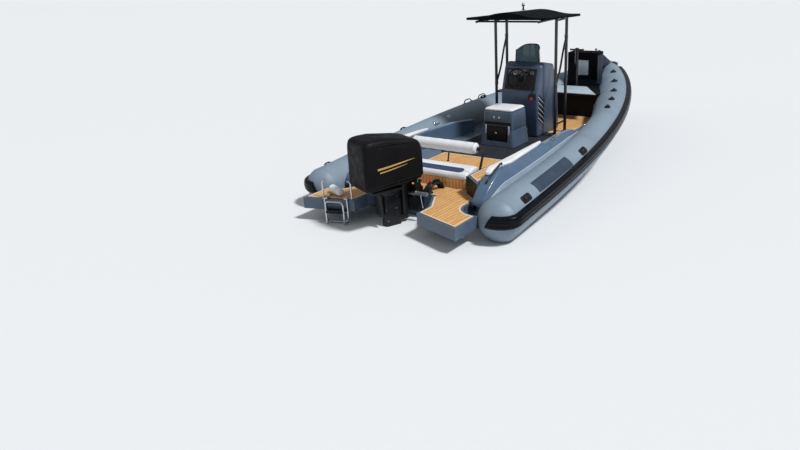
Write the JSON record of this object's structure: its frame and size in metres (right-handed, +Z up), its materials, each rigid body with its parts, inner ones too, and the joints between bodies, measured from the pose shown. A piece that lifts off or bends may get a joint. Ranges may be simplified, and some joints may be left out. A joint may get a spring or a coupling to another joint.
{
  "type": "rigid inflatable boat with outboard engine",
  "caption": "Rigid inflatable boat: deep-V hull between two air tubes, bathing platforms, outboard engine, helm console and seat, hard top, aft bench, bow locker and boarding ladder.",
  "frame": {"origin": "on the centreline at the waterline, under the outer face of the transom", "axes": "+Y to the bow, +X to starboard, +Z up"},
  "size_m": [3.5654, 7.8239, 3.219],
  "materials": {
    "hull_gelcoat": "glossy blue-grey gelcoat",
    "liner_gelcoat": "satin blue-grey gelcoat",
    "teak_deck": "synthetic teak decking with dark seams",
    "sole_rubber": "dark grey non-slip matting",
    "tube_fabric": "coated tube fabric, satin",
    "strake_rubber": "extruded rubber strake",
    "upholstery": "marine vinyl over foam",
    "black_tube": "black coated tube",
    "black_plastic": "black moulded plastic",
    "black_fabric": "black woven cover",
    "smoked_glass": "smoked acrylic",
    "chrome_fitting": "polished",
    "white_plastic": "white moulded plastic",
    "engine_cover": "black fitted cloth cover",
    "engine_metal": "black painted casting",
    "propeller_steel": "polished stainless steel",
    "stainless": "polished stainless steel"
  },
  "bodies": {
    "hull": {"hull": "hull_gelcoat", "cockpit_liner": "liner_gelcoat", "cockpit_teak": "teak_deck", "sole_mat": "sole_rubber", "side_steps": "hull_gelcoat", "stern_platforms": "hull_gelcoat", "platform_teak": "teak_deck", "tube_starboard": "tube_fabric", "tube_port": "tube_fabric", "rub_strakes": "strake_rubber", "side_mouldings": "hull_gelcoat", "coaming_cushions": "upholstery", "bench_base": "liner_gelcoat", "bench_cushion": "upholstery", "helm_seat_box": "hull_gelcoat", "console": "hull_gelcoat", "windscreen": "smoked_glass", "throttle": "chrome_fitting", "t_top_frame": "black_tube", "t_top_canopy": "black_fabric", "mast_light": "white_plastic", "bow_seat_base": "liner_gelcoat", "bow_foredeck": "hull_gelcoat", "tow_post": "black_tube", "clamp_bracket": "engine_metal", "ladder_hinges": "stainless"},
    "backrest": {"backrest_frame": "black_tube", "backrest_roll": "upholstery"},
    "seat_drawer": {"seat_drawer": "black_plastic"},
    "seat_lid": {"helm_seat_cushion": "upholstery"},
    "wheel": {"steering_wheel": "black_plastic"},
    "bow_hatch": {"bow_hatch": "white_plastic"},
    "bow_lid": {"bow_lid": "upholstery"},
    "engine": {"engine_cowl": "engine_cover", "powerhead": "engine_metal", "mid_section": "engine_metal", "gearcase": "engine_metal"},
    "propeller": {"propeller": "propeller_steel"},
    "swivel": {"swivel_bracket": "engine_metal"},
    "ladder_upper": {"ladder_upper": "stainless"},
    "ladder_lower": {"ladder_lower": "stainless"}
  },
  "joints": [
    {"name": "engine_tilt", "type": "hinge", "parent": "hull", "child": "swivel", "pos_m": [0, -0.095, 0.55], "axis": [-1, 0, 0], "range_deg": [0, 65]},
    {"name": "engine_steer", "type": "hinge", "parent": "swivel", "child": "engine", "pos_m": [0, -0.24, 0.4], "axis": [0, 0, 1], "range_deg": [-8, 52]},
    {"name": "propeller_spin", "type": "hinge", "parent": "engine", "child": "propeller", "pos_m": [0, -0.24, -0.48], "axis": [0.3746, 0.9272, 0], "continuous": true},
    {"name": "wheel_turn", "type": "hinge", "parent": "hull", "child": "wheel", "pos_m": [0, 2.82171, 1.39265], "axis": [0, -0.9553, 0.2957], "range_deg": [-220, 1410]},
    {"name": "backrest_fold", "type": "hinge", "parent": "hull", "child": "backrest", "pos_m": [0, 0.61, 0.49], "axis": [-1, 0, 0], "range_deg": [-70, 0]},
    {"name": "seat_lid_open", "type": "hinge", "parent": "hull", "child": "seat_lid", "pos_m": [0, 2.667, 0.9833], "axis": [-1, 0, 0], "range_deg": [0, 75]},
    {"name": "drawer_slide", "type": "slide", "parent": "hull", "child": "seat_drawer", "axis": [0, -1, 0], "range_m": [0, 0.3]},
    {"name": "bow_lid_open", "type": "hinge", "parent": "hull", "child": "bow_lid", "pos_m": [0, 4.96, 0.8503], "axis": [-1, 0, 0], "range_deg": [0, 70]},
    {"name": "bow_hatch_open", "type": "hinge", "parent": "hull", "child": "bow_hatch", "pos_m": [0.1147, 5.332, 1.175], "axis": [0, 0, 1], "range_deg": [0, 95]},
    {"name": "ladder_swing", "type": "hinge", "parent": "hull", "child": "ladder_upper", "pos_m": [-0.76279, -0.76166, 0.358], "axis": [0.9538, 0.3005, 0], "range_deg": [-170, 0]},
    {"name": "ladder_fold", "type": "hinge", "parent": "ladder_upper", "child": "ladder_lower", "pos_m": [-0.74476, -0.81888, 0.028], "axis": [0.9538, 0.3005, 0], "range_deg": [0, 175]}
  ],
  "couplings": [
    {"joint": "wheel_turn", "follows": "engine_steer", "ratio": 27}
  ]
}
